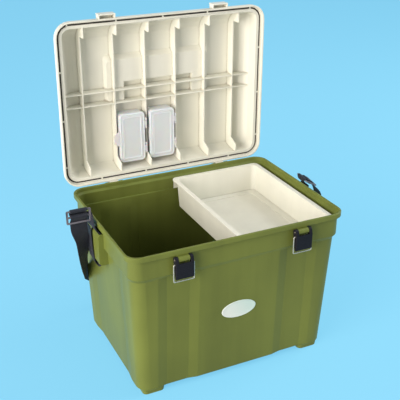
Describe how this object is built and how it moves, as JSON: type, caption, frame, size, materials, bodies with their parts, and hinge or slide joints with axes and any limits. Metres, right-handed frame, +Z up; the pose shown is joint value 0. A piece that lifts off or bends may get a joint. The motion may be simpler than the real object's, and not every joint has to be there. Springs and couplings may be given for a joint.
{
  "type": "fishing seat box",
  "caption": "Moulded fishing seat box with an open ribbed lid, lift-out tray, small clear boxes, front latches and a webbing shoulder strap.",
  "frame": {"origin": "on the floor under the middle of the bounding box, between the feet", "axes": "+X to the right along the front, +Y from the front to the hinge side, +Z up"},
  "size_m": [0.582, 0.4304, 0.6838],
  "materials": {
    "green_plastic": "satin",
    "cream_plastic": "satin",
    "label_plate": "gloss",
    "webbing": "matte",
    "black_plastic": "satin",
    "steel": "polished",
    "seal_rubber": "matte",
    "clear_plastic": "translucent gloss"
  },
  "bodies": {
    "tub_body": {"tub": "green_plastic", "front_label": "label_plate", "shoulder_strap": "webbing", "left_buckle": "black_plastic", "right_buckle": "black_plastic", "left_strap_loop": "webbing", "right_strap_loop": "webbing", "left_latch_pin": "steel", "right_latch_pin": "steel", "left_hinge_pin": "steel", "right_hinge_pin": "steel"},
    "lid_body": {"lid": "cream_plastic", "lid_seal": "seal_rubber"},
    "tray_body": {"tray": "cream_plastic"},
    "left_lever_body": {"left_latch_lever": "black_plastic"},
    "right_lever_body": {"right_latch_lever": "black_plastic"},
    "left_bail_body": {"left_latch_bail": "steel"},
    "right_bail_body": {"right_latch_bail": "steel"},
    "left_box_body": {"left_box_base": "clear_plastic"},
    "right_box_body": {"right_box_base": "clear_plastic"},
    "left_cap_body": {"left_box_cap": "clear_plastic"},
    "right_cap_body": {"right_box_cap": "clear_plastic"}
  },
  "joints": [
    {"name": "lid_hinge", "type": "hinge", "parent": "tub_body", "child": "lid_body", "pos_m": [0, 0.15238, 0.31315], "axis": [-1, 0, 0], "range_deg": [-90, 0]},
    {"name": "left_latch", "type": "hinge", "parent": "tub_body", "child": "left_lever_body", "pos_m": [-0.128, -0.20722, 0.307], "axis": [-1, 0, 0], "range_deg": [0, 135]},
    {"name": "right_latch", "type": "hinge", "parent": "tub_body", "child": "right_lever_body", "pos_m": [0.128, -0.20722, 0.307], "axis": [-1, 0, 0], "range_deg": [0, 135]},
    {"name": "left_bail", "type": "hinge", "parent": "left_lever_body", "child": "left_bail_body", "pos_m": [-0.128, -0.20922, 0.298], "axis": [1, 0, 0], "range_deg": [-172, 0]},
    {"name": "right_bail", "type": "hinge", "parent": "right_lever_body", "child": "right_bail_body", "pos_m": [0.128, -0.20922, 0.298], "axis": [1, 0, 0], "range_deg": [-172, 0]},
    {"name": "tray_lift", "type": "slide", "parent": "tub_body", "child": "tray_body", "axis": [0, 0, 1], "range_m": [0, 0.225]},
    {"name": "left_box_pull", "type": "slide", "parent": "lid_body", "child": "left_box_body", "axis": [0, -1, 0], "range_m": [0, 0.03]},
    {"name": "right_box_pull", "type": "slide", "parent": "lid_body", "child": "right_box_body", "axis": [0, -1, 0], "range_m": [0, 0.03]},
    {"name": "left_cap_hinge", "type": "hinge", "parent": "left_box_body", "child": "left_cap_body", "pos_m": [-0.0391, 0.18372, 0.40775], "axis": [0, 0, 1], "range_deg": [0, 80]},
    {"name": "right_cap_hinge", "type": "hinge", "parent": "right_box_body", "child": "right_cap_body", "pos_m": [0.0321, 0.18372, 0.40775], "axis": [0, 0, 1], "range_deg": [0, 80]}
  ]
}
